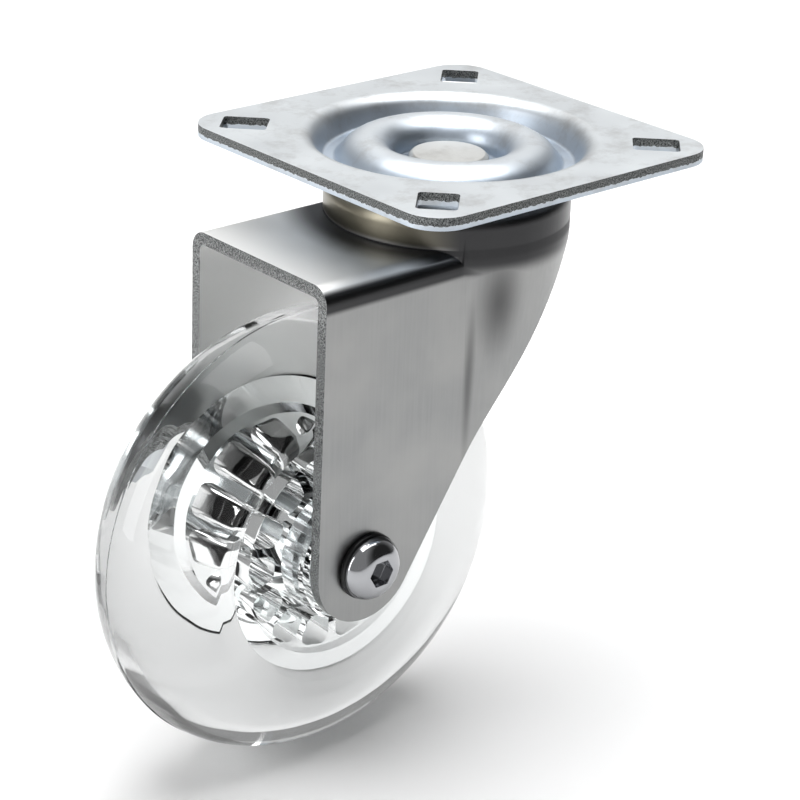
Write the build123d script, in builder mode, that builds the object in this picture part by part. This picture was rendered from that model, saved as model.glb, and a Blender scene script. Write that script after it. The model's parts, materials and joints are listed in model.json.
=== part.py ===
from build123d import *
from math import atan2, cos, pi, radians, sin, sqrt, tan
import os

# Swivel caster with a clear wheel, 75 mm across, under a 60 mm square top plate.
# The origin is on the swivel axis at the plate's upper face, where the furniture rests.
# +Z is up, the wheel trails towards -X, and the axle lies along Y with its head on -Y.

# Driving sizes, in millimetres
plate_side = 60.0
plate_corner_radius = 6.0
plate_sheet = 2.0
slot_inset = 7.0
slot_length = 7.4
slot_width = 6.2
slot_corner_radius = 0.7

ball_radius = 2.0
ball_play = 0.2
upper_ball_circle = 12.9
upper_ball_count = 19
lower_ball_circle = 10.3
lower_ball_count = 15

pressed_ring_depth = 0.6
pressed_ring_flat = 2.2
pressed_ring_bend = 4.0
recess_depth = 5.2
recess_bend = 1.3
groove_depth = 4.0
groove_inner_radius = 17.6
groove_outer_radius = 20.6
groove_rim_radius = 22.9
groove_bend = 1.8
groove_rim_bend = 2.0
swivel_gap = 0.35

kingpin_radius = 4.0
kingpin_head_radius = 6.4
kingpin_head_height = 2.2
kingpin_head_chamfer = 0.6
kingpin_tail_radius = 5.6
kingpin_tail_height = 2.4
kingpin_tail_edge = 1.9
rivet_fit = 0.05
race_sheet = 1.5
race_flat = 2.9
race_step_bend = 1.1
race_rim_bend = 1.4
race_rim_width = 1.2
race_rim_height = 1.7

fork_sheet = 2.0
fork_width = 33.0
fork_web_drop = 12.5
fork_bend_radius = 3.0
fork_reach = 37.9
fork_cup_radius = 19.8
crown_lip = 1.7
crown_lip_angle = 30.0
crown_step_bend = 1.5
crown_edge_bend = 2.0
crown_lap = 1.0
shoulder_drop = 48.0
shoulder_crease_x = 8.7
skirt_drop = 13.0
skirt_reach = 13.4
skirt_blend_radius = 9.0
leg_end_radius = 9.6

axle_trail = 29.0
axle_drop = 60.5
axle_radius = 3.0
axle_fit = 0.1
head_radius = 5.25
head_height = 2.8
head_top_radius = 2.65
head_edge_height = 0.5
head_bulge = 0.5
head_underside_chamfer = 0.2
hex_key = 4.0
hex_key_depth = 1.9
head_washer_radius = 5.45
nut_washer_radius = 6.3
washer_thickness = 1.0
washer_chamfer = 0.25
nut_flats = 10.0
nut_height = 6.0
nut_collar_height = 1.6
nut_collar_inset = 0.4
nut_collar_chamfer = 0.6
thread_end = 1.6
thread_end_chamfer = 0.6
thread_clearance = 0.01

wheel_radius = 37.5
tyre_width = 23.0
tyre_shoulder_radius = 24.5
tyre_lip_radius = 20.8
tyre_lip_width = 20.4
core_width = 18.0
rim_radius = 28.5
rim_key_height = 1.2
rim_key_width = 3.2
ring_inner_radius = 17.9
ring_width = 19.4
ring_draft = 0.5
web_thickness = 2.0
hub_radius = 10.6
hub_width = 26.4
hub_chamfer = 0.5
bearing_shoulder = 1.4
bearing_seat_chamfer = 0.3
spoke_count = 14
rib_thickness = 1.5
rib_width = 17.0
window_inner_radius = 11.9
window_outer_radius = 17.0
window_corner_radius = 1.5
window_draft = 3.0

bearing_bore = 6.1
bearing_outside = 17.0
bearing_width = 6.0
bearing_ball_radius = 1.6
bearing_ball_count = 7
bearing_play = 0.08
inner_land_radius = 4.6
outer_land_radius = 6.9
cage_thickness = 0.8
cage_width = 4.0
shield_thickness = 0.4
shield_inset = 0.3
shield_seat_depth = 0.5
shield_gap = 0.3
spacer_radius = 4.4

# Places that follow from the sizes above
sheet_mid = plate_sheet / 2
slot_pitch = plate_side - 2 * slot_inset
ring_roll_radius = ball_radius + ball_play + sheet_mid
upper_ball_z = -pressed_ring_depth - plate_sheet - ball_play - ball_radius
groove_bottom = -groove_depth - plate_sheet
recess_bottom = -recess_depth - plate_sheet
crown_top = groove_bottom - swivel_gap
crown_mid = crown_top - fork_sheet / 2
web_top = -fork_web_drop
cup_foot = web_top - fork_bend_radius
cup_height = fork_bend_radius + crown_lap
leg_face_y = fork_width / 2
leg_inside_y = leg_face_y - fork_sheet
axle_centre = (-axle_trail, 0, -axle_drop)
axle_line = Axis(axle_centre, (0, 1, 0))
wheel_section = Plane(origin=axle_centre)
os.makedirs("parts", exist_ok=True)


def finish(piece, label):
    piece.part.label = label
    export_step(piece.part, f"parts/{label}.step")


# Top plate: one square of steel sheet. Its middle is pressed into a sunk groove, a raised
# ring whose underside is the upper ball track, and a recess that takes the kingpin's head.
ring_inner_x = upper_ball_circle - ring_roll_radius
ring_outer_x = upper_ball_circle + pressed_ring_flat
pressing = [
    (kingpin_radius + rivet_fit, -recess_depth - sheet_mid),
    (ring_inner_x, -recess_depth - sheet_mid),
    (ring_inner_x, -pressed_ring_depth - sheet_mid),
    (ring_outer_x, -pressed_ring_depth - sheet_mid),
    (groove_inner_radius, -groove_depth - sheet_mid),
    (groove_outer_radius, -groove_depth - sheet_mid),
    (groove_rim_radius, -sheet_mid),
    (groove_rim_radius + plate_sheet, -sheet_mid),
]
pressing_bends = [
    recess_bend, ring_roll_radius, pressed_ring_bend, groove_bend, groove_bend, groove_rim_bend
]

with BuildPart() as top_plate:
    with BuildSketch():
        RectangleRounded(plate_side, plate_side, plate_corner_radius)
        Circle(groove_rim_radius + plate_sheet, mode=Mode.SUBTRACT)
        for x_side in (-1, 1):
            for y_side in (-1, 1):
                corner = (x_side * slot_pitch / 2, y_side * slot_pitch / 2, 0)
                with Locations(Location(corner, (0, 0, 45 * x_side * y_side))):
                    RectangleRounded(slot_length, slot_width, slot_corner_radius, mode=Mode.SUBTRACT)
    extrude(amount=-plate_sheet)
    with BuildSketch(Plane.XZ):
        with BuildLine():
            FilletPolyline(*pressing, radius=pressing_bends)
        trace(line_width=plate_sheet)
    revolve(axis=Axis.Z)
finish(top_plate, "top_plate")

# Kingpin: a rivet. Its flat head sits in the plate's recess, and its tail is spread under
# the lower race, so the plate, the kingpin and the lower race are one fixed stack.
lower_race_under = recess_bottom - race_sheet
stacked_up = (Align.CENTER, Align.CENTER, Align.MIN)

with BuildPart() as kingpin:
    with Locations((0, 0, -recess_depth)):
        Cylinder(kingpin_head_radius, kingpin_head_height, align=stacked_up)
    with Locations((0, 0, lower_race_under)):
        Cylinder(kingpin_radius, -recess_depth - lower_race_under, align=stacked_up)
    with Locations((0, 0, lower_race_under - kingpin_tail_height)):
        Cylinder(kingpin_tail_radius, kingpin_tail_height, align=stacked_up)
    chamfer(kingpin.edges().sort_by(Axis.Z)[-1], kingpin_head_chamfer)
    fillet(kingpin.edges().sort_by(Axis.Z)[0], kingpin_tail_edge)
finish(kingpin, "kingpin")

# Lower race: a small dished cup under the fork's crown. It hangs from the kingpin and
# holds the lower balls up against the crown's turned-down lip.
lip_slope = radians(crown_lip_angle)
crown_lip_x = upper_ball_circle - crown_lip
track_low = upper_ball_z - ring_roll_radius
track_corner_z = track_low - ring_roll_radius * (1 / cos(lip_slope) - 1)
lip_mid_x = (crown_lip_x + upper_ball_circle) / 2
lip_mid_z = track_corner_z + (upper_ball_circle - lip_mid_x) * tan(lip_slope)
lower_ball_reach = fork_sheet / 2 + ball_play + ball_radius
lower_ball_z = lip_mid_z - lower_ball_reach * cos(lip_slope)
race_roll_radius = ball_radius + ball_play + race_sheet / 2
race_rim_x = lower_ball_circle + race_flat

with BuildPart() as lower_race:
    with BuildSketch(Plane.XZ):
        with BuildLine():
            FilletPolyline(
                (kingpin_radius + rivet_fit, recess_bottom - race_sheet / 2),
                (lower_ball_circle - race_roll_radius, recess_bottom - race_sheet / 2),
                (lower_ball_circle - race_roll_radius, lower_ball_z - race_roll_radius),
                (race_rim_x, lower_ball_z - race_roll_radius),
                (race_rim_x + race_rim_width, lower_ball_z - race_roll_radius + race_rim_height),
                radius=[race_step_bend, race_roll_radius, race_rim_bend],
            )
        trace(line_width=race_sheet)
    revolve(axis=Axis.Z)
finish(lower_race, "lower_race")


# Swivel balls: two full circles of loose steel balls, above and below the fork's crown.
def ball_circle(label, count, circle_radius, height):
    with BuildPart() as balls:
        with Locations((0, 0, height)):
            with PolarLocations(circle_radius, count):
                Sphere(ball_radius)
    finish(balls, label)


ball_circle("upper_balls", upper_ball_count, upper_ball_circle, upper_ball_z)
ball_circle("lower_balls", lower_ball_count, lower_ball_circle, lower_ball_z)


# Fork: one piece of steel sheet. The front is folded into a channel, and the back is drawn
# up into a round cup whose walls run down into the legs as shoulders that fade out.
def channel_outline(half_width, top, bend_radius):
    foot = -axle_drop - 2 * leg_end_radius
    with BuildSketch(Plane.YZ.offset(-fork_reach - leg_end_radius)) as outline:
        with BuildLine():
            FilletPolyline(
                (-half_width, foot),
                (-half_width, top),
                (half_width, top),
                (half_width, foot),
                radius=bend_radius,
            )
            Line((half_width, foot), (-half_width, foot))
        make_face()
    return outline.sketch


def shoulder_outline(height, half_width, back_radius, crease_x):
    middle_angle = (atan2(half_width, -crease_x) + pi / 2) / 2
    bulge_x = back_radius * cos(middle_angle)
    bulge_y = back_radius * sin(middle_angle)
    with BuildSketch(Plane.XY.offset(height)) as outline:
        with BuildLine():
            Line((-crease_x, -half_width), (-crease_x, half_width))
            if back_radius > half_width:
                ThreePointArc((-crease_x, half_width), (bulge_x, bulge_y), (0, back_radius))
                ThreePointArc((-crease_x, -half_width), (bulge_x, -bulge_y), (0, -back_radius))
            else:
                Line((-crease_x, half_width), (0, back_radius))
                Line((-crease_x, -half_width), (0, -back_radius))
            ThreePointArc((0, back_radius), (back_radius, 0), (0, -back_radius))
        make_face()
    return outline.sketch


def shoulder_sections(wall):
    """Plan outlines of the shoulders under the cup and where they fade out, set in by a wall."""
    cup_radius = fork_cup_radius - wall
    half_width = leg_face_y - wall
    cup_crease_x = sqrt(cup_radius**2 - half_width**2)
    return [
        shoulder_outline(cup_foot, half_width, cup_radius, cup_crease_x),
        shoulder_outline(-shoulder_drop, half_width, half_width, shoulder_crease_x),
    ]


crown_profile = [
    (crown_lip_x, track_corner_z + (upper_ball_circle - crown_lip_x) * tan(lip_slope)),
    (upper_ball_circle, track_corner_z),
    (upper_ball_circle + (crown_mid - track_corner_z) / tan(lip_slope), crown_mid),
    (fork_cup_radius - fork_sheet / 2, crown_mid),
    (fork_cup_radius - fork_sheet / 2, web_top + crown_lap / 2),
]
crown_bends = [ring_roll_radius, crown_step_bend, crown_edge_bend]

with BuildPart() as fork:
    extrude(channel_outline(leg_face_y, web_top, fork_bend_radius), amount=fork_reach + leg_end_radius)
    with Locations((0, 0, cup_foot)):
        Cylinder(fork_cup_radius, cup_height, align=stacked_up)
    loft(shoulder_sections(0), ruled=True)
    with Locations((0, 0, cup_foot)):
        Cylinder(fork_cup_radius - fork_sheet, cup_height, align=stacked_up, mode=Mode.SUBTRACT)
    loft(shoulder_sections(fork_sheet), ruled=True, mode=Mode.SUBTRACT)
    extrude(
        channel_outline(leg_inside_y, web_top - fork_sheet, fork_bend_radius - fork_sheet),
        amount=fork_reach + leg_end_radius,
        mode=Mode.SUBTRACT,
    )
    with BuildSketch(Plane.XZ):
        with BuildLine():
            FilletPolyline(*crown_profile, radius=crown_bends)
        trace(line_width=fork_sheet)
    revolve(axis=Axis.Z)
    with BuildSketch(Plane.XZ) as side_profile:
        with BuildLine():
            CenterArc((-axle_trail, -axle_drop), leg_end_radius, 0, 360)
            Polyline((-fork_reach, 0), (skirt_reach, 0), (skirt_reach, -skirt_drop), (-fork_reach, 0))
        make_hull()
        with Locations((0, -skirt_drop / 2)):
            Rectangle(2 * fork_cup_radius + 2, skirt_drop)
        skirt_corner = side_profile.vertices().sort_by_distance((skirt_reach, -skirt_drop))[0]
        fillet(skirt_corner, skirt_blend_radius)
    extrude(amount=fork_cup_radius + 1, both=True, mode=Mode.INTERSECT)
    with Locations(Plane.XZ * Location((-axle_trail, -axle_drop))):
        Hole(axle_radius + axle_fit)
finish(fork, "fork")


# Axle: a button-headed screw through both legs, a black washer under the head, a plain
# washer and a lock nut on the far side.
def stand(distance):
    """A plane square to the axle, at a distance from the wheel's middle, facing +Y."""
    return Plane(origin=(-axle_trail, distance, -axle_drop), x_dir=(1, 0, 0), z_dir=(0, 1, 0))


head_seat_y = -leg_face_y - washer_thickness
nut_seat_y = leg_face_y + washer_thickness
screw_end_y = nut_seat_y + nut_height + thread_end
head_top_y = head_seat_y - head_height

with BuildPart() as axle_screw:
    with BuildSketch(wheel_section):
        with BuildLine():
            Polyline(
                (head_top_radius, head_top_y),
                (0, head_top_y),
                (0, screw_end_y),
                (axle_radius - thread_end_chamfer, screw_end_y),
                (axle_radius, screw_end_y - thread_end_chamfer),
                (axle_radius, head_seat_y),
                (head_radius - head_underside_chamfer, head_seat_y),
                (head_radius, head_seat_y - head_underside_chamfer),
                (head_radius, head_seat_y - head_edge_height),
            )
            SagittaArc(
                (head_radius, head_seat_y - head_edge_height), (head_top_radius, head_top_y), head_bulge
            )
        make_face()
    revolve(axis=axle_line)
    with BuildSketch(stand(head_top_y)):
        RegularPolygon(hex_key / 2, 6, major_radius=False)
    extrude(amount=hex_key_depth, mode=Mode.SUBTRACT)
finish(axle_screw, "axle_screw")


def axle_ring(label, start_y, length, outer_radius):
    """A turned ring on the axle, its outer corners broken by a chamfer."""
    with BuildPart() as piece:
        with BuildSketch(stand(start_y)):
            Circle(outer_radius)
        extrude(amount=length)
        chamfer(piece.edges().filter_by(GeomType.CIRCLE), washer_chamfer)
        with BuildSketch(stand(start_y)):
            Circle(axle_radius + axle_fit / 2)
        extrude(amount=length, mode=Mode.SUBTRACT)
    finish(piece, label)


hub_seat = bearing_outside / 2
hub_face_y = hub_width / 2
sleeve_half = hub_face_y - bearing_width
spacer_length = leg_inside_y - hub_face_y
axle_ring("head_washer", head_seat_y, washer_thickness, head_washer_radius)
axle_ring("nut_washer", leg_face_y, washer_thickness, nut_washer_radius)
axle_ring("axle_sleeve", -sleeve_half, 2 * sleeve_half, spacer_radius)
axle_ring("head_side_spacer", -leg_inside_y, spacer_length, spacer_radius)
axle_ring("nut_side_spacer", hub_face_y, spacer_length, spacer_radius)

with BuildPart() as lock_nut:
    with BuildSketch(stand(nut_seat_y)):
        RegularPolygon(nut_flats / 2, 6, major_radius=False)
    extrude(amount=nut_height - nut_collar_height)
    with BuildSketch(stand(nut_seat_y)):
        Circle(nut_flats / 2 - nut_collar_inset)
    extrude(amount=nut_height)
    chamfer(lock_nut.faces().sort_by(Axis.Y)[-1].edges(), nut_collar_chamfer)
    with BuildSketch(stand(nut_seat_y)):
        Circle(axle_radius + thread_clearance)
    extrude(amount=nut_height, mode=Mode.SUBTRACT)
finish(lock_nut, "lock_nut")


# Wheel core: one clear moulding. A hub for two bearings and an outer ring, with drafted
# windows sunk from both sides down to a thin web, so that radial ribs stand between them.
def window_half_width(distance):
    """Half the width of a window between two ribs, at a distance from the axle."""
    half_pitch = pi / spoke_count
    return distance * tan(half_pitch) - rib_thickness / 2 / cos(half_pitch)


window_outline = [
    (window_inner_radius, -window_half_width(window_inner_radius)),
    (window_outer_radius, -window_half_width(window_outer_radius)),
    (window_outer_radius, window_half_width(window_outer_radius)),
    (window_inner_radius, window_half_width(window_inner_radius)),
]

with BuildPart() as wheel_core:
    with BuildSketch(wheel_section):
        with BuildLine():
            Polyline(
                (hub_seat - bearing_shoulder, 0),
                (hub_seat - bearing_shoulder, sleeve_half),
                (hub_seat, sleeve_half),
                (hub_seat, hub_face_y - bearing_seat_chamfer),
                (hub_seat + bearing_seat_chamfer, hub_face_y),
                (hub_radius - hub_chamfer, hub_face_y),
                (hub_radius, hub_face_y - hub_chamfer),
                (hub_radius, rib_width / 2),
                (ring_inner_radius - ring_draft, rib_width / 2),
                (ring_inner_radius, ring_width / 2),
                (tyre_lip_radius, ring_width / 2),
                (tyre_lip_radius, core_width / 2),
                (rim_radius, core_width / 2),
                (rim_radius, rim_key_width / 2),
                (rim_radius + rim_key_height, rim_key_width / 2),
                (rim_radius + rim_key_height, 0),
                close=True,
            )
        make_face()
    revolve(axis=axle_line)
    with BuildSketch(stand(rib_width / 2)) as windows:
        with PolarLocations(0, spoke_count):
            Polygon(*window_outline, align=None)
        fillet(windows.vertices(), window_corner_radius)
    extrude(amount=(web_thickness - rib_width) / 2, taper=window_draft, mode=Mode.SUBTRACT)
    mirror(about=Plane.XZ)
finish(wheel_core, "wheel_core")


# Tyre: a clear, soft ring moulded over the core. Its section is nearly half an ellipse,
# drawn in to a lip on each side, and a key on the core's rim stops it from walking off.
tyre_half = tyre_width / 2
tyre_bulge = wheel_radius - tyre_shoulder_radius

with BuildPart() as tyre:
    with BuildSketch(wheel_section):
        with BuildLine():
            EllipticalCenterArc(
                (tyre_shoulder_radius, 0), tyre_bulge, tyre_half, start_angle=-90, arc_size=180
            )
            Line((tyre_shoulder_radius, tyre_half), (tyre_lip_radius, tyre_lip_width / 2))
            Polyline(
                (tyre_lip_radius, tyre_lip_width / 2),
                (tyre_lip_radius, core_width / 2),
                (rim_radius, core_width / 2),
                (rim_radius, rim_key_width / 2),
                (rim_radius + rim_key_height, rim_key_width / 2),
                (rim_radius + rim_key_height, -rim_key_width / 2),
                (rim_radius, -rim_key_width / 2),
                (rim_radius, -core_width / 2),
                (tyre_lip_radius, -core_width / 2),
                (tyre_lip_radius, -tyre_lip_width / 2),
                (tyre_shoulder_radius, -tyre_half),
            )
        make_face()
    revolve(axis=axle_line)
finish(tyre, "tyre")


# Wheel bearings: a shielded ball bearing in each end of the hub. The inner ring stays on
# the axle, the outer ring and its two shields turn with the wheel, and the cage carries
# the balls round between them.
ball_path = (bearing_bore + bearing_outside) / 4
track_radius = bearing_ball_radius + bearing_play
shield_seat_length = shield_inset + shield_thickness


def bearing(side, middle_y):
    half = bearing_width / 2
    bore_radius = bearing_bore / 2
    section = Plane(origin=(-axle_trail, middle_y, -axle_drop))

    with BuildPart() as inner_ring:
        with BuildSketch(section):
            with Locations(((bore_radius + inner_land_radius) / 2, 0)):
                Rectangle(inner_land_radius - bore_radius, bearing_width)
            with Locations((ball_path, 0)):
                Circle(track_radius, mode=Mode.SUBTRACT)
        revolve(axis=axle_line)
    finish(inner_ring, f"{side}_bearing_inner_ring")

    with BuildPart() as outer_ring:
        with BuildSketch(section):
            with Locations(((outer_land_radius + hub_seat) / 2, 0)):
                Rectangle(hub_seat - outer_land_radius, bearing_width)
            with Locations((ball_path, 0)):
                Circle(track_radius, mode=Mode.SUBTRACT)
            for end in (-1, 1):
                with Locations((outer_land_radius, end * (half - shield_seat_length / 2))):
                    Rectangle(2 * shield_seat_depth, shield_seat_length, mode=Mode.SUBTRACT)
        revolve(axis=axle_line)
    finish(outer_ring, f"{side}_bearing_outer_ring")

    with BuildPart() as balls:
        with Locations(stand(middle_y)):
            with PolarLocations(ball_path, bearing_ball_count):
                Sphere(bearing_ball_radius)
    finish(balls, f"{side}_bearing_balls")

    with BuildPart() as cage:
        with BuildSketch(stand(middle_y)):
            Circle(ball_path + cage_thickness / 2)
            Circle(ball_path - cage_thickness / 2, mode=Mode.SUBTRACT)
        extrude(amount=cage_width / 2, both=True)
        with Locations(stand(middle_y)):
            with PolarLocations(ball_path, bearing_ball_count):
                Cylinder(track_radius, 2 * cage_thickness, rotation=(0, 90, 0), mode=Mode.SUBTRACT)
    finish(cage, f"{side}_bearing_cage")

    for face, place in (("outer", 1), ("inner", -1)):
        away = place if middle_y > 0 else -place
        shield_y = middle_y + away * (half - shield_inset - shield_thickness / 2)
        with BuildPart() as shield:
            with BuildSketch(stand(shield_y)):
                Circle(outer_land_radius + shield_seat_depth)
                Circle(inner_land_radius + shield_gap, mode=Mode.SUBTRACT)
            extrude(amount=shield_thickness / 2, both=True)
        finish(shield, f"{side}_bearing_{face}_shield")


bearing("head_side", -hub_face_y + bearing_width / 2)
bearing("nut_side", hub_face_y - bearing_width / 2)
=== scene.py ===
import json
import math
import bpy
from mathutils import Matrix, Vector

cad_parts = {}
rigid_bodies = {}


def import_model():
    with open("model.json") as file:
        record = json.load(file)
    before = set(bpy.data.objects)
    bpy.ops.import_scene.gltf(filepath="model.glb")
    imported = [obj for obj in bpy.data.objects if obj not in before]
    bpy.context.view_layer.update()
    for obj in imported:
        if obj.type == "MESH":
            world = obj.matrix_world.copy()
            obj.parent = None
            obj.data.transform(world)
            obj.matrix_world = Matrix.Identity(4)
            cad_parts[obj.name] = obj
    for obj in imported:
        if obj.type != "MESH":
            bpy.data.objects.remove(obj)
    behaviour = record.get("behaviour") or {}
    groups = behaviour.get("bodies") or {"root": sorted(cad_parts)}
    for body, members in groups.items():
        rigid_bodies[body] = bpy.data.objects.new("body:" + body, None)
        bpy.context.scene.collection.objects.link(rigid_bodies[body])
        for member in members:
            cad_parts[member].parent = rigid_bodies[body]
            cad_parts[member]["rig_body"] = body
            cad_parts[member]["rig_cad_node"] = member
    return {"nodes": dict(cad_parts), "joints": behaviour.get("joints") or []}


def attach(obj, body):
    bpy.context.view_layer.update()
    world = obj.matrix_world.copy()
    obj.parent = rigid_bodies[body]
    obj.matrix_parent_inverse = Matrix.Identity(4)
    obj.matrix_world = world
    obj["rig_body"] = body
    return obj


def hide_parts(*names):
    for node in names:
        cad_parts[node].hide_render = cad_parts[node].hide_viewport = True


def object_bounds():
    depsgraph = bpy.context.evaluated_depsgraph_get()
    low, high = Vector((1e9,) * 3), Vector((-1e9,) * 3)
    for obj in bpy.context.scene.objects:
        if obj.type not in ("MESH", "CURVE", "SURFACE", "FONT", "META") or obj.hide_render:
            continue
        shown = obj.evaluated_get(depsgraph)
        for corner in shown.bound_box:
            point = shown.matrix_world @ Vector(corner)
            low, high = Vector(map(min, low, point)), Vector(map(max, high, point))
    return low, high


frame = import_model()
size_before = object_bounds()
nodes = frame["nodes"]

# Top plate: a square of 2 mm steel sheet whose middle is pressed into a groove with a raised
# ring inside it, and whose four slots are punched. Zinc plated after pressing: satin, faintly
# blue in the pressed part, cloudy, with a dark torn band over a smooth one on sheared rims.
MM = 0.001
PLATE_SHEET = 2.0


def linear(hex_colour):
    parts = [int(hex_colour[i:i + 2], 16) / 255 for i in (1, 3, 5)]
    return [c / 12.92 if c <= 0.04045 else ((c + 0.055) / 1.055) ** 2.4 for c in parts] + [1.0]


def add_node(tree, kind, inputs=None, **settings):
    """A node with its settings. A node given as an input is linked by its first live output."""
    node = tree.nodes.new(kind)
    for key, value in settings.items():
        setattr(node, key, value)
    for key, value in (inputs or {}).items():
        if isinstance(value, bpy.types.Node):
            value = next(output for output in value.outputs if output.enabled)
        if isinstance(value, bpy.types.NodeSocket):
            tree.links.new(value, node.inputs[key])
        else:
            node.inputs[key].default_value = value
    return node


def new_material(name):
    """An empty material and its nodes."""
    material = bpy.data.materials.new(name)
    material.use_nodes = True
    material.node_tree.nodes.clear()
    return material, material.node_tree


def fading(tree, value, none_mm, full_mm):
    """A soft change from 0 to 1 between two places along an axis, in millimetres."""
    return add_node(tree, "ShaderNodeMapRange", {"Value": value, 1: none_mm * MM, 2: full_mm * MM},
                    interpolation_type="SMOOTHSTEP")


def within(tree, *fades):
    """1 where all the fades are 1."""
    zone = fades[0]
    for fade in fades[1:]:
        zone = add_node(tree, "ShaderNodeMath", {0: zone, 1: fade}, operation="MULTIPLY")
    return zone


def blended(tree, amount, first, second):
    """One colour over another, each a hex value or a colour already made."""
    first, second = [linear(c) if isinstance(c, str) else c for c in (first, second)]
    return add_node(tree, "ShaderNodeMix", {0: amount, 6: first, 7: second}, data_type="RGBA")


def zinc_plated(name, dull, bright, pressed, sheared_rims=False):
    """Satin zinc: 11 mm clouds, 8 mm smudges and a 0.4 mm grain, bluer where it was pressed."""
    material, tree = new_material(name)
    coordinates = add_node(tree, "ShaderNodeTexCoord").outputs
    place = coordinates["Object"]
    height = add_node(tree, "ShaderNodeSeparateXYZ", {"Vector": place}).outputs["Z"]
    cloud = add_node(tree, "ShaderNodeTexNoise", {"Vector": place, "Scale": 1 / (11 * MM), "Detail": 5.0})
    grain = add_node(tree, "ShaderNodeTexNoise", {"Vector": place, "Scale": 1 / (0.4 * MM), "Detail": 3.0})
    smudge = add_node(tree, "ShaderNodeTexNoise", {"Vector": place, "Scale": 1 / (8 * MM),
                                                   "Detail": 9.0, "Roughness": 0.7})
    depth = add_node(tree, "ShaderNodeMapRange", {"Value": height, 1: -0.3 * MM, 2: -2.2 * MM, 4: 0.75})
    faint = add_node(tree, "ShaderNodeMapRange", {"Value": smudge, 1: 0.5, 2: 0.72, 4: 0.5})
    colour = blended(tree, depth, blended(tree, cloud, dull, bright), pressed)
    colour = blended(tree, faint, colour, "#8f8c88")
    rough = add_node(tree, "ShaderNodeMapRange", {"Value": cloud, 1: 0.3, 2: 0.7, 3: 0.36, 4: 0.46})
    bump = add_node(tree, "ShaderNodeBump", {"Height": grain, "Strength": 0.3, "Distance": 0.02 * MM})
    steel = add_node(tree, "ShaderNodeBsdfPrincipled", {"Base Color": colour, "Metallic": 1.0,
                                                        "Roughness": rough, "Normal": bump})
    if sheared_rims:
        steel = torn_over(tree, place, coordinates["Normal"], height, steel)
    add_node(tree, "ShaderNodeOutputMaterial", {"Surface": steel})
    return material


def torn_over(tree, place, normal, height, steel):
    """Upright rims: a dark, gritty fracture from the top face down to about 1.3 mm."""
    lean = add_node(tree, "ShaderNodeSeparateXYZ", {"Vector": normal}).outputs["Z"]
    lean = add_node(tree, "ShaderNodeMath", {0: lean}, operation="ABSOLUTE")
    upright = add_node(tree, "ShaderNodeMath", {0: lean, 1: 0.3}, operation="LESS_THAN")
    on_rim = add_node(tree, "ShaderNodeMath", {0: height, 1: -(PLATE_SHEET + 0.1) * MM},
                     operation="GREATER_THAN")
    ragged = add_node(tree, "ShaderNodeTexNoise", {"Vector": place, "Scale": 1 / (0.7 * MM), "Detail": 5.0})
    lower_limit = add_node(tree, "ShaderNodeMath", {0: ragged, 1: 0.8 * MM, 2: -1.7 * MM},
                           operation="MULTIPLY_ADD")
    torn = add_node(tree, "ShaderNodeMath", {0: height, 1: lower_limit}, operation="GREATER_THAN")
    speck = add_node(tree, "ShaderNodeTexNoise", {"Vector": place, "Scale": 1 / (0.2 * MM), "Detail": 2.0})
    grit = add_node(tree, "ShaderNodeMapRange", {"Value": speck, 1: 0.35, 2: 0.68})
    pits = add_node(tree, "ShaderNodeBump", {"Height": ragged, "Strength": 0.9, "Distance": 0.3 * MM})
    fracture = add_node(tree, "ShaderNodeBsdfPrincipled",
                        {"Base Color": blended(tree, grit, "#2f3131", "#8c8f8f"), "Metallic": 0.8,
                         "Roughness": 0.5, "Normal": pits})
    return add_node(tree, "ShaderNodeMixShader", {0: within(tree, upright, on_rim, torn), 1: steel,
                                                  2: fracture})


def only(piece):
    bpy.ops.object.select_all(action="DESELECT")
    piece.select_set(True)
    bpy.context.view_layer.objects.active = piece


def soft_edges(piece, angle=40):
    """Smooth shading over bends below the angle, crisp above it."""
    only(piece)
    if piece.data.has_custom_normals:
        bpy.ops.mesh.customdata_custom_splitnormals_clear()
    bpy.ops.object.shade_smooth_by_angle(angle=math.radians(angle))


def paint(piece, material):
    piece.data.materials.clear()
    piece.data.materials.append(material)


def eased_copy(node, name, easing_mm, segments=2):
    """A piece over a CAD node: its loose triangles joined and its sharp edges eased."""
    only(nodes[node])
    bpy.ops.object.duplicate()
    piece = bpy.context.active_object
    piece.name = name
    del piece["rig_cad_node"]
    if piece.data.has_custom_normals:
        bpy.ops.mesh.customdata_custom_splitnormals_clear()
    bpy.ops.object.mode_set(mode="EDIT")
    bpy.ops.mesh.select_all(action="SELECT")
    bpy.ops.mesh.remove_doubles(threshold=0.002 * MM)
    bpy.ops.mesh.dissolve_limited(angle_limit=math.radians(0.5))
    bpy.ops.object.mode_set(mode="OBJECT")
    if easing_mm:
        bpy.ops.object.modifier_add(type="BEVEL")
        bevel = piece.modifiers[-1]
        bevel.width = easing_mm * MM
        bevel.segments = segments
        bevel.limit_method = "ANGLE"
        bevel.angle_limit = math.radians(40)
        bpy.ops.object.modifier_apply(modifier=bevel.name)
    soft_edges(piece)
    bpy.ops.object.modifier_add(type="WEIGHTED_NORMAL")
    flat_first = piece.modifiers[-1]
    flat_first.keep_sharp = True
    bpy.ops.object.modifier_apply(modifier=flat_first.name)
    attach(piece, nodes[node]["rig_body"])
    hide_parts(node)
    return piece


plate = eased_copy("top_plate", "top_plate_sheet", 0.22)
plate_zinc = zinc_plated("zinc plated pressed steel", "#c9cdd0", "#d8dcde", "#b1becd", sheared_rims=True)
paint(plate, plate_zinc)

# Kingpin: a steel rivet through the plate and the crown, its flat head in the plate's recess
# and its tail spread under the lower race. The plating on it is dull and slightly warm.
kingpin = eased_copy("kingpin", "kingpin_rivet", 0.12)
dull_zinc = zinc_plated("dull plated rivet steel", "#c8c8c5", "#d5d5d2", "#c2c2bf")
paint(kingpin, dull_zinc)

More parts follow.
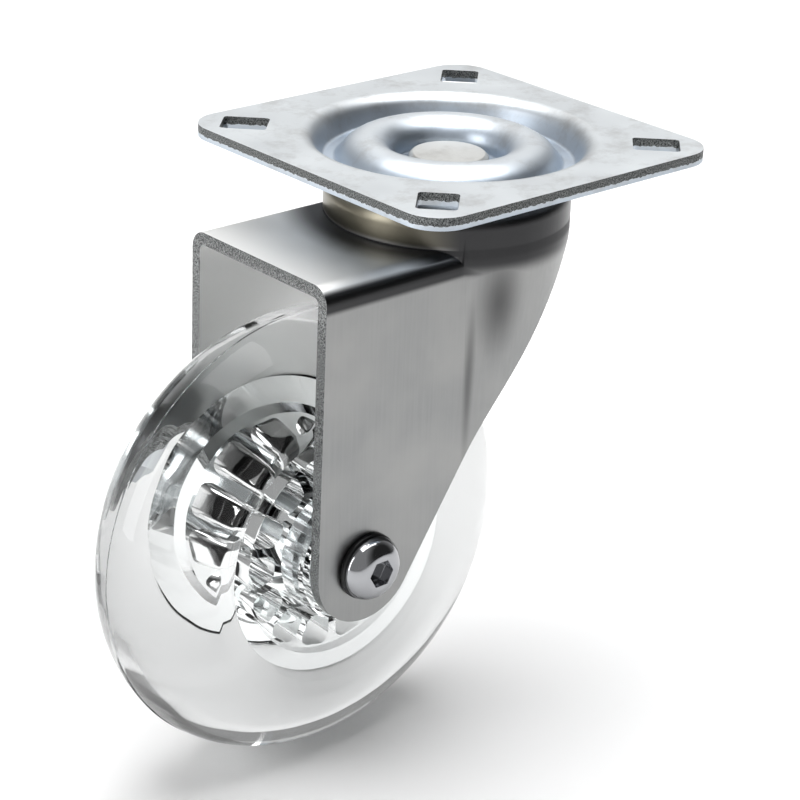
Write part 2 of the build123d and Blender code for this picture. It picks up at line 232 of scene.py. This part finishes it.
# Lower race: a small cup pressed from steel sheet, held under the crown by the rivet. It has
# the plain grey zinc that the turned and folded small parts have too.
race = eased_copy("lower_race", "lower_race_cup", 0.1)
plain_zinc = zinc_plated("zinc plated steel", "#cdd0d2", "#dcdfe1", "#c4c8cb")
paint(race, plain_zinc)

# Fork: one piece of 2 mm steel sheet, folded to a channel and drawn up into a cup at the back,
# brightly plated. A fine grain runs down the legs. Painted shade darkens the back of the cup, the web
# round it and the ends of the folds, and lies over a shallow dent below each fold's end and along each
# crease.
def oval_spot(tree, place, centre_mm, reach_mm):
    """1 in the middle of an oval and 0 past its reach, in millimetres."""
    offset = add_node(tree, "ShaderNodeVectorMath", {0: place, 1: [-c * MM for c in centre_mm]},
                      operation="ADD")
    share = add_node(tree, "ShaderNodeVectorMath", {0: offset, 1: [1 / (r * MM) for r in reach_mm]},
                     operation="MULTIPLY")
    distance = add_node(tree, "ShaderNodeVectorMath", {0: share}, operation="LENGTH").outputs["Value"]
    return add_node(tree, "ShaderNodeMapRange", {"Value": distance, 1: 1.0, 2: 0.0},
                    interpolation_type="SMOOTHSTEP")


def darkest(tree, *zones):
    """The strongest of several zones, each given with its share of the full darkness."""
    strongest = 0.0
    for zone, share in zones:
        zone = add_node(tree, "ShaderNodeMath", {0: zone, 1: share}, operation="MULTIPLY")
        strongest = add_node(tree, "ShaderNodeMath", {0: strongest, 1: zone}, operation="MAXIMUM")
    return strongest


fork_steel, tree = new_material("bright plated drawn steel")
coordinates = add_node(tree, "ShaderNodeTexCoord").outputs
place = coordinates["Object"]
axes = add_node(tree, "ShaderNodeSeparateXYZ", {"Vector": place}).outputs
from_middle = add_node(tree, "ShaderNodeMath", {0: axes["Y"]}, operation="ABSOLUTE")
flat_place = add_node(tree, "ShaderNodeCombineXYZ", {"X": axes["X"], "Y": axes["Y"]})
from_kingpin = add_node(tree, "ShaderNodeVectorMath", {0: flat_place}, operation="LENGTH").outputs["Value"]

along_leg = add_node(tree, "ShaderNodeMapping",
                     {"Vector": place, "Scale": (1 / (0.5 * MM), 1 / (0.5 * MM), 1 / (16 * MM))})
grain = add_node(tree, "ShaderNodeTexNoise", {"Vector": along_leg, "Scale": 1.0, "Detail": 4.0})
cloud = add_node(tree, "ShaderNodeTexNoise", {"Vector": place, "Scale": 1 / (14 * MM), "Detail": 3.0,
                                              "Roughness": 0.5})
cloudy = add_node(tree, "ShaderNodeMapRange", {"Value": cloud, 1: 0.35, 2: 0.75})
colour = blended(tree, cloudy, blended(tree, grain, "#868787", "#939494"), "#9c9c9b")

# Painted light: the web and the inside of the channel are painted lighter than the legs.
web_top = fading(tree, axes["Z"], -14.6, -13.4)
inside = fading(tree, from_middle, 14.9, 14.7)
colour = blended(tree, darkest(tree, (web_top, 1.0), (inside, 1.0)), colour, "#f2f2f1")
# Painted reflection: a dark olive band over the front of the cup.
painted_reflection_band = within(tree, fading(tree, axes["Z"], -13.0, -11.5), fading(tree, axes["X"], -4.0, -12.0))
colour = blended(tree, painted_reflection_band, colour, "#7a7669")

# Painted shade: darker at the back of the cup, on the web round it, at the ends of the folds, over the
# dents and along the creases.
cup_back_shade = within(tree, fading(tree, from_kingpin, 25.0, 20.0), fading(tree, axes["Z"], -17.5, -14.5),
                  fading(tree, axes["X"], -18.5, -11.0))
web_shade_round_cup = within(tree, fading(tree, from_kingpin, 28.0, 21.5), fading(tree, axes["Z"], -14.0, -13.2),
                       fading(tree, axes["Z"], -12.0, -12.4))
fold_end_shade = within(tree, fading(tree, from_middle, 15.2, 16.0), fading(tree, axes["Z"], -17.0, -16.0),
                  fading(tree, axes["X"], -5.0, -12.0))
dents_and_shade = [oval_spot(tree, place, (-5.0, side * 18.0, -21.0), (5.5, 6.0, 13.0)) for side in (-1, 1)]
painted_crease_shade = [oval_spot(tree, place, (-9.2, side * 16.5, -34.0), (1.3, 4.0, 20.0)) for side in (-1, 1)]
darkness = darkest(tree, (cup_back_shade, 1.0), (web_shade_round_cup, 1.0), (fold_end_shade, 1.0), (dents_and_shade[0], 0.8),
                   (dents_and_shade[1], 0.8), (painted_crease_shade[0], 0.6), (painted_crease_shade[1], 0.6))
colour = blended(tree, darkness, colour, "#3e3e3f")

# The sheared front edge: grey grit of 0.2 mm on the faces that look forwards.
forwards = add_node(tree, "ShaderNodeSeparateXYZ", {"Vector": coordinates["Normal"]}).outputs["X"]
forwards = add_node(tree, "ShaderNodeMapRange", {"Value": forwards, 1: -0.6, 2: -0.85})
speck = add_node(tree, "ShaderNodeTexNoise", {"Vector": place, "Scale": 1 / (0.2 * MM), "Detail": 2.0})
grit = add_node(tree, "ShaderNodeMapRange", {"Value": speck, 1: 0.35, 2: 0.7})
sheared = within(tree, forwards, fading(tree, axes["X"], -37.0, -37.5))
colour = blended(tree, sheared, colour, blended(tree, grit, "#343535", "#a0a2a2"))

dented = darkest(tree, (dents_and_shade[0], 30.0), (dents_and_shade[1], 30.0))
height = add_node(tree, "ShaderNodeMath", {0: grain, 1: dented}, operation="SUBTRACT")
bump = add_node(tree, "ShaderNodeBump", {"Height": height, "Strength": 0.5, "Distance": 0.01 * MM})
rough = add_node(tree, "ShaderNodeMapRange", {"Value": cloud, 1: 0.3, 2: 0.7, 3: 0.285, 4: 0.34})

# The flat top of the channel is duller than its legs.
web = within(tree, web_top, fading(tree, axes["Z"], -12.0, -12.4))
rough = add_node(tree, "ShaderNodeMath", {0: web, 1: 0.2, 2: rough}, operation="MULTIPLY_ADD")
steel = add_node(tree, "ShaderNodeBsdfPrincipled", {"Base Color": colour, "Metallic": 1.0,
                                                    "Roughness": rough, "Normal": bump})
add_node(tree, "ShaderNodeOutputMaterial", {"Surface": steel})
fork = eased_copy("fork", "fork_sheet", 0.25)
paint(fork, fork_steel)

# Axle screw: a steel M6 button head, turned, polished and plated dark, so it mirrors the room
# with only a breath of haze.
screw_plating, tree = new_material("dark polished plating")
place = add_node(tree, "ShaderNodeTexCoord").outputs["Object"]
haze = add_node(tree, "ShaderNodeTexNoise", {"Vector": place, "Scale": 1 / (2 * MM), "Detail": 3.0})
rough = add_node(tree, "ShaderNodeMapRange", {"Value": haze, 3: 0.05, 4: 0.13})
steel = add_node(tree, "ShaderNodeBsdfPrincipled", {"Base Color": linear("#a4a5a8"), "Metallic": 1.0,
                                                    "Roughness": rough})
add_node(tree, "ShaderNodeOutputMaterial", {"Surface": steel})
screw = eased_copy("axle_screw", "axle_screw_polished", 0.12, 3)
paint(screw, screw_plating)

# Washer under the screw's head: steel with a black coat, semi-gloss.
black_coat, tree = new_material("black coated steel")
coat = add_node(tree, "ShaderNodeBsdfPrincipled", {"Base Color": linear("#101012"), "Metallic": 0.3,
                                                   "Roughness": 0.3})
add_node(tree, "ShaderNodeOutputMaterial", {"Surface": coat})
washer = eased_copy("head_washer", "head_washer_black", 0.08)
paint(washer, black_coat)

# Axle stack: the nut's washer and the lock nut on the far side, and the sleeve and spacers
# between the bearings. All are turned steel with plain zinc.
for node in ("nut_washer", "lock_nut", "axle_sleeve", "head_side_spacer", "nut_side_spacer"):
    paint(nodes[node], plain_zinc)
    soft_edges(nodes[node], 35)

# Balls and bearings: hardened steel, ground and polished. The ball cages are pressed from the
# same bright strip.
ground_steel, tree = new_material("ground bearing steel")
steel = add_node(tree, "ShaderNodeBsdfPrincipled", {"Base Color": linear("#dcdcde"), "Metallic": 1.0,
                                                    "Roughness": 0.16})
add_node(tree, "ShaderNodeOutputMaterial", {"Surface": steel})
for node in nodes:
    if "_bearing_" in node or node.endswith("_balls"):
        paint(nodes[node], ground_steel)
        soft_edges(nodes[node], 35)

# Tyre: clear polyurethane cast round the core. Core and tyre bond into one clear mass, so they
# are shown with one skin: this piece is the outside of it, from lip to lip, half an oval in
# section with a fine mould line round the crown. Casting leaves it faintly wavy and grey. In
# the photograph the core is hardly magnified, so both clear materials bend light less than the
# usual 1.5.
axle = Vector(next(joint["pos_m"] for joint in frame["joints"] if joint["name"] == "wheel_spin"))
TYRE_RADIUS = 37.5
TYRE_HALF_WIDTH = 11.5
CROWN_RISE = 13.0
LINE_RISE = 0.12
LINE_HALF_WIDTH = 0.3
BOW_STEP = 4
TYRE_STEPS = 240


def clear_plastic(name, tint, refraction, roughness):
    """Clear moulded plastic whose faces wave gently over 16 mm."""
    material, tree = new_material(name)
    place = add_node(tree, "ShaderNodeTexCoord").outputs["Object"]
    waves = add_node(tree, "ShaderNodeTexNoise", {"Vector": place, "Scale": 1 / (16 * MM), "Detail": 2.0})
    bump = add_node(tree, "ShaderNodeBump", {"Height": waves, "Strength": 0.4, "Distance": 0.8 * MM})
    clear = add_node(tree, "ShaderNodeBsdfPrincipled",
                     {"Base Color": linear(tint), "Transmission Weight": 1.0, "IOR": refraction,
                      "Roughness": roughness, "Normal": bump})
    add_node(tree, "ShaderNodeOutputMaterial", {"Surface": clear})
    return material


bow_radius = TYRE_RADIUS - CROWN_RISE
bow = [(bow_radius + CROWN_RISE * math.sin(math.radians(a)), -TYRE_HALF_WIDTH * math.cos(math.radians(a)))
       for a in range(0, 181, BOW_STEP)]
bow = [(radius, y) for radius, y in bow if abs(y) > LINE_HALF_WIDTH]
half = len(bow) // 2
mould_line = [(TYRE_RADIUS - 0.02, -LINE_HALF_WIDTH), (TYRE_RADIUS, -0.12),
              (TYRE_RADIUS + LINE_RISE, -0.05), (TYRE_RADIUS + LINE_RISE, 0.05),
              (TYRE_RADIUS, 0.12), (TYRE_RADIUS - 0.02, LINE_HALF_WIDTH)]
lip = [(20.8, 9.7), (20.9, 10.05), (21.15, 10.3), (22.6, 10.75)]
near_lip = [(radius, -y) for radius, y in lip]
outline = near_lip + bow[:half] + mould_line + bow[half:] + lip[::-1]

bpy.ops.object.select_all(action="DESELECT")
bpy.ops.mesh.primitive_plane_add(location=axle)
tyre = bpy.context.active_object
tyre.name = "clear_tyre"
tyre.data.clear_geometry()
tyre.data.from_pydata([Vector((radius, y, 0)) * MM for radius, y in outline],
                      [(i, i + 1) for i in range(len(outline) - 1)], [])
bpy.ops.object.mode_set(mode="EDIT")
bpy.ops.mesh.select_all(action="SELECT")
bpy.ops.mesh.spin(steps=TYRE_STEPS, angle=math.tau, center=axle, axis=(0, 1, 0))
bpy.ops.mesh.select_all(action="SELECT")
bpy.ops.mesh.remove_doubles(threshold=0.001 * MM)
bpy.ops.mesh.normals_make_consistent(inside=False)
bpy.ops.object.mode_set(mode="OBJECT")
bpy.ops.object.transform_apply(location=True, rotation=True, scale=True)
soft_edges(tyre, 30)
paint(tyre, clear_plastic("clear cast polyurethane", "#d0d1d1", 1.3, 0.03))
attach(tyre, "wheel")
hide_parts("tyre")

# Wheel core: clear polycarbonate, moulded in one with hub, ribs and ring. Its faces that bond
# to the tyre are left out of the shared skin, and its bearing seats stand a hair off the steel
# so that the two don't flicker.
BOND_RADIUS = 20.9
BOND_CORNER = 20.7
BOND_HALF_WIDTH = 9.1
SEAT_RADIUS = 8.5
SEAT_CLEARANCE = 0.03
SAME_RADIUS = 0.05
core = eased_copy("wheel_core", "clear_core", 0.0)
only(core)
bpy.ops.object.mode_set(mode="EDIT")
bpy.ops.mesh.select_all(action="DESELECT")
bpy.ops.object.mode_set(mode="OBJECT")
for vertex in core.data.vertices:
    radius = math.hypot(vertex.co.x - axle.x, vertex.co.z - axle.z) / MM
    in_corner = radius > BOND_CORNER and abs(vertex.co.y) < BOND_HALF_WIDTH * MM
    vertex.select = radius > BOND_RADIUS or in_corner
    if abs(radius - SEAT_RADIUS) < SAME_RADIUS:
        wider = (SEAT_RADIUS + SEAT_CLEARANCE) / SEAT_RADIUS
        vertex.co.x = axle.x + (vertex.co.x - axle.x) * wider
        vertex.co.z = axle.z + (vertex.co.z - axle.z) * wider
bpy.ops.object.mode_set(mode="EDIT")
bpy.ops.mesh.delete(type="VERT")
bpy.ops.object.mode_set(mode="OBJECT")
soft_edges(core, 30)
paint(core, clear_plastic("clear moulded polycarbonate", "#f6f9f9", 1.36, 0.02))

# Floor: pale and matt, just under the wheel.
bpy.ops.mesh.primitive_plane_add(size=6.0, location=(0, 0, size_before[0].z - 0.1 * MM))
floor = bpy.context.active_object
floor.name = "floor"
floor_paint, tree = new_material("pale matt floor")
matt = add_node(tree, "ShaderNodeBsdfPrincipled", {"Base Color": linear("#fbfbfb"), "Roughness": 0.8})
add_node(tree, "ShaderNodeOutputMaterial", {"Surface": matt})
floor.data.materials.append(floor_paint)


# Light: a large soft one overhead, one low at the back and one at the left. The room is pale,
# but unlit at the front right, so that polished metal has something dark to mirror.
def softbox(name, place, target, width, height, power):
    bpy.ops.object.light_add(type="AREA", location=place)
    light = bpy.context.active_object
    light.name = name
    light.data.shape = "RECTANGLE"
    light.data.size = width
    light.data.size_y = height
    light.data.energy = power
    light.rotation_euler = (Vector(target) - Vector(place)).to_track_quat("-Z", "Y").to_euler()


caster_middle = (-0.01, 0, -0.05)
softbox("overhead softbox", (0.1, 0.12, 0.85), (0.1, 0.12, -0.1), 0.9, 0.9, 11.0)
softbox("back softbox", (0.75, 0.85, 0.5), caster_middle, 1.1, 0.5, 1.1)
softbox("left softbox", (-0.95, 0.25, 0.2), caster_middle, 0.4, 0.9, 5.0)
room = bpy.data.worlds.new("pale room")
bpy.context.scene.world = room
room.use_nodes = True
room.node_tree.nodes.clear()
direction = add_node(room.node_tree, "ShaderNodeTexCoord").outputs["Generated"]
front_right = add_node(room.node_tree, "ShaderNodeVectorMath", {0: direction, 1: (0.61, -0.7, 0.37)},
                       operation="DOT_PRODUCT").outputs["Value"]
glow = add_node(room.node_tree, "ShaderNodeMapRange", {"Value": front_right, 1: 0.6, 2: 0.9, 3: 0.42,
                                                       4: 0.04})
walls = add_node(room.node_tree, "ShaderNodeBackground", {"Color": (1, 1, 1, 1), "Strength": glow})
add_node(room.node_tree, "ShaderNodeOutputWorld", {"Surface": walls})
bpy.context.scene.view_settings.view_transform = "Standard"

# Camera: where the photograph was taken from, with its lens and slight roll.
camera_place = Vector((-0.238208, -0.257656, 0.110477))
azimuth, elevation, roll = math.radians(-41.72), math.radians(24.076), math.radians(2.033)
back = Vector((math.sin(azimuth) * math.cos(elevation), -math.cos(azimuth) * math.cos(elevation),
               math.sin(elevation)))
level_right = Vector((math.cos(azimuth), math.sin(azimuth), 0))
level_up = back.cross(level_right)
right = level_right * math.cos(roll) + level_up * math.sin(roll)
up = level_up * math.cos(roll) - level_right * math.sin(roll)
bpy.ops.object.camera_add()
camera = bpy.context.active_object
turned = Matrix((right, up, back)).transposed().to_4x4()
camera.matrix_world = Matrix.Translation(camera_place) @ turned
camera.data.lens = 104.23
camera.data.sensor_width = 36.0
camera.data.clip_start = 0.01
bpy.context.scene.camera = camera
